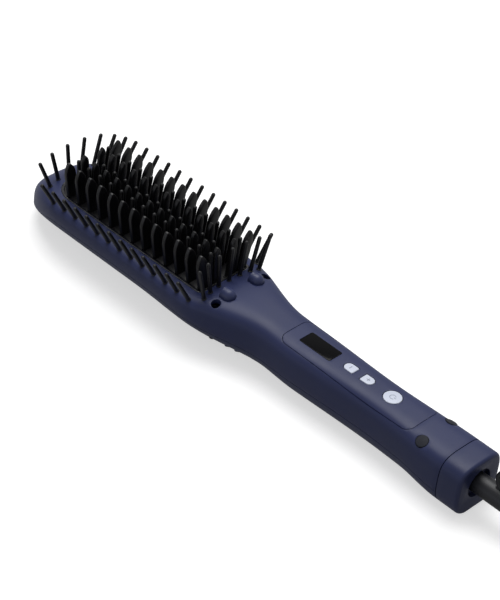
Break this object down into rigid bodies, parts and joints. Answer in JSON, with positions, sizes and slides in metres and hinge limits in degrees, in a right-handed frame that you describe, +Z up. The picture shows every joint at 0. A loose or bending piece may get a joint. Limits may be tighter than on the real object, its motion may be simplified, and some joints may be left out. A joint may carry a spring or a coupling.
{
  "type": "steam hair straightener brush",
  "caption": "Handheld heated brush with comb teeth, guard pins, steam nozzles, display and buttons on a straight handle, and a swivel mains cord.",
  "frame": {"origin": "bottom centre of the brush without its free cord, on the surface it lies on", "axes": "+X from the rounded tip to the cord end, +Z up through the teeth, Y across the head"},
  "size_m": [0.4745, 0.0934, 0.0485],
  "materials": {
    "upper_shell": "fine satin navy moulding",
    "lower_shell": "fine satin navy moulding",
    "end_cap": "fine satin navy moulding",
    "comb_plate": "black heat-resistant coating, satin",
    "plate_rim": "glossy black",
    "guard_pins": "black satin nylon",
    "heater_tray": "moulded heat-resistant plastic",
    "heater_strips": "pale ceramic",
    "heater_clamp": "stamped sheet",
    "insulation_sheet": "mica sheet",
    "thermal_fuse": "plated can",
    "steam_nozzles": "fine satin navy moulding",
    "steam_chamber": "cast",
    "steam_hose": "translucent silicone",
    "pump_body": "moulded",
    "pump_piston": "moulded",
    "pump_spring": "drawn wire",
    "steam_trigger": "fine satin navy moulding",
    "feed_hose": "translucent silicone",
    "water_tank": "clear moulding",
    "filler_plug": "dark silicone",
    "control_panel": "fine satin navy moulding",
    "display_window": "polished black lens",
    "display_module": "moulded",
    "minus_button": "pale grey satin moulding",
    "plus_button": "pale grey satin moulding",
    "power_button": "pale grey satin moulding",
    "tact_switches": "moulded",
    "control_board": "solder-masked board",
    "board_screws": "plated",
    "neck_screws": "black oxide",
    "handle_screws": "black oxide",
    "screw_plugs": "dark grey",
    "swivel_collar": "black moulding",
    "swivel_retainer": "moulded",
    "slip_rings": "plated contact",
    "brush_contacts": "plated contact",
    "heater_leads": "silicone insulated",
    "mains_leads": "silicone insulated",
    "strain_relief": "soft black",
    "cord": "satin black jacket",
    "cord_coil": "satin black jacket",
    "cord_tail": "satin black jacket",
    "cord_tie": "soft black strap",
    "plug_body": "black moulding",
    "plug_pins": "plated pins"
  },
  "bodies": {
    "casing": {"upper_shell": "upper_shell", "lower_shell": "lower_shell", "end_cap": "end_cap", "comb_plate": "comb_plate", "plate_rim": "plate_rim", "guard_pins": "guard_pins", "heater_tray": "heater_tray", "heater_strips": "heater_strips", "heater_clamp": "heater_clamp", "insulation_sheet": "insulation_sheet", "thermal_fuse": "thermal_fuse", "steam_nozzles": "steam_nozzles", "steam_chamber": "steam_chamber", "steam_hose": "steam_hose", "pump_body": "pump_body", "pump_spring": "pump_spring", "feed_hose": "feed_hose", "water_tank": "water_tank", "control_panel": "control_panel", "display_window": "display_window", "display_module": "display_module", "tact_switches": "tact_switches", "control_board": "control_board", "board_screws": "board_screws", "neck_screws": "neck_screws", "handle_screws": "handle_screws", "screw_plugs": "screw_plugs", "swivel_retainer": "swivel_retainer", "brush_contacts": "brush_contacts", "heater_leads": "heater_leads", "mains_leads": "mains_leads", "cord": "cord", "cord_coil": "cord_coil", "cord_tail": "cord_tail", "cord_tie": "cord_tie", "plug_body": "plug_body", "plug_pins": "plug_pins"},
    "minus": {"minus_button": "minus_button"},
    "plus": {"plus_button": "plus_button"},
    "power": {"power_button": "power_button"},
    "trigger": {"steam_trigger": "steam_trigger", "pump_piston": "pump_piston"},
    "filler": {"filler_plug": "filler_plug"},
    "swivel": {"swivel_collar": "swivel_collar", "slip_rings": "slip_rings", "strain_relief": "strain_relief"}
  },
  "joints": [
    {"name": "minus_press", "type": "slide", "parent": "casing", "child": "minus", "axis": [0, 0, -1], "range_m": [0, 0.0006], "stiffness_N_per_m": 900, "springref_m": -0.0004},
    {"name": "plus_press", "type": "slide", "parent": "casing", "child": "plus", "axis": [0, 0, -1], "range_m": [0, 0.0006], "stiffness_N_per_m": 900, "springref_m": -0.0004},
    {"name": "power_press", "type": "slide", "parent": "casing", "child": "power", "axis": [0, 0, -1], "range_m": [0, 0.0006], "stiffness_N_per_m": 900, "springref_m": -0.0004},
    {"name": "trigger_press", "type": "slide", "parent": "casing", "child": "trigger", "axis": [0, 0, 1], "range_m": [0, 0.002], "stiffness_N_per_m": 700, "springref_m": -0.002, "deforming": ["pump_spring"]},
    {"name": "filler_pull", "type": "slide", "parent": "casing", "child": "filler", "axis": [0, 1, 0], "range_m": [0, 0.008]},
    {"name": "cord_swivel", "type": "hinge", "parent": "casing", "child": "swivel", "pos_m": [0.124, 0, 0.0155], "axis": [1, 0, 0], "continuous": true}
  ]
}
